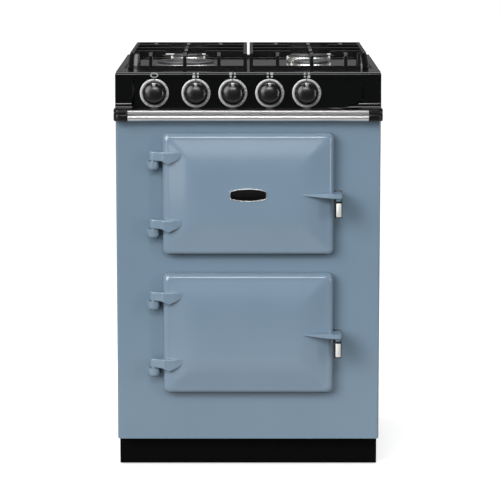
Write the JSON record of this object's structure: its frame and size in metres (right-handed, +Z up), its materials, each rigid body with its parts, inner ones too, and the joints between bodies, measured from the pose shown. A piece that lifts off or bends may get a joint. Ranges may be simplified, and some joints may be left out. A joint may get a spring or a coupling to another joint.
{
  "type": "dual fuel range cooker",
  "caption": "Free-standing range cooker with cast oven doors on lift-off hinges, gas hob with pan supports, fascia with turning knobs, trim rail and recessed plinth.",
  "frame": {"origin": "on the floor plane, under the middle of the casing's width and depth", "axes": "+Z up, +X to the cook's right, the doors face -Y"},
  "size_m": [0.604, 0.634, 0.945],
  "materials": {
    "blue_enamel": "glossy vitreous enamel on cast iron and steel",
    "black_enamel": "glossy black vitreous enamel",
    "black_iron": "matt black enamelled cast iron",
    "oven_iron": "grey enamelled cast iron",
    "stainless": "brushed stainless steel",
    "zinc_steel": "zinc coated steel sheet",
    "steel": "turned steel",
    "element_steel": "dull heat-stained steel tube",
    "chrome_wire": "chromed steel wire",
    "chrome": "polished chrome",
    "dial_metal": "satin aluminium with printed ticks",
    "aluminium": "cast and machined aluminium",
    "brass": "forged brass",
    "knob_plastic": "gloss black moulded plastic",
    "black_plastic": "satin black moulded plastic",
    "white_plastic": "white moulded plastic",
    "electrode_ceramic": "white ceramic with a metal tip",
    "mineral_wool": "mineral wool",
    "rope": "braided glass rope"
  },
  "bodies": {
    "root": {"base_frame": "zinc_steel", "levelling_feet": "black_plastic", "plinth": "black_enamel", "side_panel_left": "blue_enamel", "side_panel_right": "blue_enamel", "front_casting": "blue_enamel", "back_panel": "zinc_steel", "terminal_box": "black_plastic", "hob_plate": "black_enamel", "fascia": "black_enamel", "trim_rail": "stainless", "rail_caps": "black_plastic", "oven_liner_upper": "oven_iron", "oven_liner_lower": "oven_iron", "insulation": "mineral_wool", "heating_elements": "element_steel", "oven_control": "white_plastic", "dial_rings": "dial_metal", "gas_taps": "brass", "gas_manifold": "zinc_steel", "feed_pipes": "aluminium", "injector_cups": "aluminium", "burner_crowns": "aluminium", "burner_caps": "black_enamel", "burner_electrodes": "electrode_ceramic", "hinge_sockets": "blue_enamel", "catch_keepers": "steel"},
    "door_upper": {"door_casting_upper": "blue_enamel", "door_liner_upper": "stainless", "door_seal_upper": "rope", "hinge_pins_upper": "steel", "catch_arm_upper": "blue_enamel", "grip_upper": "black_plastic", "grip_plate_upper": "chrome", "badge_plate": "chrome"},
    "door_lower": {"door_casting_lower": "blue_enamel", "door_liner_lower": "stainless", "door_seal_lower": "rope", "hinge_pins_lower": "steel", "catch_arm_lower": "blue_enamel", "grip_lower": "black_plastic", "grip_plate_lower": "chrome"},
    "oven_knob": {"oven_knob": "knob_plastic", "oven_spindle": "steel"},
    "plug_1": {"tap_plug_1": "brass"},
    "knob_1": {"burner_knob_1": "knob_plastic", "tap_spindle_1": "steel"},
    "plug_2": {"tap_plug_2": "brass"},
    "knob_2": {"burner_knob_2": "knob_plastic", "tap_spindle_2": "steel"},
    "plug_3": {"tap_plug_3": "brass"},
    "knob_3": {"burner_knob_3": "knob_plastic", "tap_spindle_3": "steel"},
    "plug_4": {"tap_plug_4": "brass"},
    "knob_4": {"burner_knob_4": "knob_plastic", "tap_spindle_4": "steel"},
    "pan_support_left": {"pan_support_left": "black_iron"},
    "pan_support_right": {"pan_support_right": "black_iron"},
    "shelf_upper": {"shelf_upper": "chrome_wire"},
    "shelf_lower": {"shelf_lower": "chrome_wire"}
  },
  "joints": [
    {"name": "door_upper_hinge", "type": "hinge", "parent": "root", "child": "door_upper", "pos_m": [-0.214, -0.307, 0.637], "axis": [0, 0, -1], "range_deg": [0, 110]},
    {"name": "door_lower_hinge", "type": "hinge", "parent": "root", "child": "door_lower", "pos_m": [-0.214, -0.307, 0.318], "axis": [0, 0, -1], "range_deg": [0, 110]},
    {"name": "oven_knob_turn", "type": "hinge", "parent": "root", "child": "oven_knob", "pos_m": [-0.211, -0.28097, 0.86245], "axis": [0, 0.9976, -0.0698], "range_deg": [0, 270]},
    {"name": "burner_knob_1_turn", "type": "hinge", "parent": "root", "child": "plug_1", "pos_m": [-0.1175, -0.28097, 0.86245], "axis": [0, -0.9976, 0.0698], "range_deg": [0, 210]},
    {"name": "burner_knob_1_push", "type": "slide", "parent": "plug_1", "child": "knob_1", "axis": [0, 0.9976, -0.0698], "range_m": [0, 0.004], "stiffness_N_per_m": 1000},
    {"name": "burner_knob_2_turn", "type": "hinge", "parent": "root", "child": "plug_2", "pos_m": [-0.0345, -0.28097, 0.86245], "axis": [0, -0.9976, 0.0698], "range_deg": [0, 210]},
    {"name": "burner_knob_2_push", "type": "slide", "parent": "plug_2", "child": "knob_2", "axis": [0, 0.9976, -0.0698], "range_m": [0, 0.004], "stiffness_N_per_m": 1000},
    {"name": "burner_knob_3_turn", "type": "hinge", "parent": "root", "child": "plug_3", "pos_m": [0.0485, -0.28097, 0.86245], "axis": [0, -0.9976, 0.0698], "range_deg": [0, 210]},
    {"name": "burner_knob_3_push", "type": "slide", "parent": "plug_3", "child": "knob_3", "axis": [0, 0.9976, -0.0698], "range_m": [0, 0.004], "stiffness_N_per_m": 1000},
    {"name": "burner_knob_4_turn", "type": "hinge", "parent": "root", "child": "plug_4", "pos_m": [0.1315, -0.28097, 0.86245], "axis": [0, -0.9976, 0.0698], "range_deg": [0, 210]},
    {"name": "burner_knob_4_push", "type": "slide", "parent": "plug_4", "child": "knob_4", "axis": [0, 0.9976, -0.0698], "range_m": [0, 0.004], "stiffness_N_per_m": 1000},
    {"name": "pan_support_left_lift", "type": "slide", "parent": "root", "child": "pan_support_left", "axis": [0, 0, 1], "range_m": [0, 0.06]},
    {"name": "pan_support_right_lift", "type": "slide", "parent": "root", "child": "pan_support_right", "axis": [0, 0, 1], "range_m": [0, 0.06]},
    {"name": "shelf_upper_slide", "type": "slide", "parent": "root", "child": "shelf_upper", "axis": [0, -1, 0], "range_m": [0, 0.02]},
    {"name": "shelf_lower_slide", "type": "slide", "parent": "root", "child": "shelf_lower", "axis": [0, -1, 0], "range_m": [0, 0.02]}
  ]
}
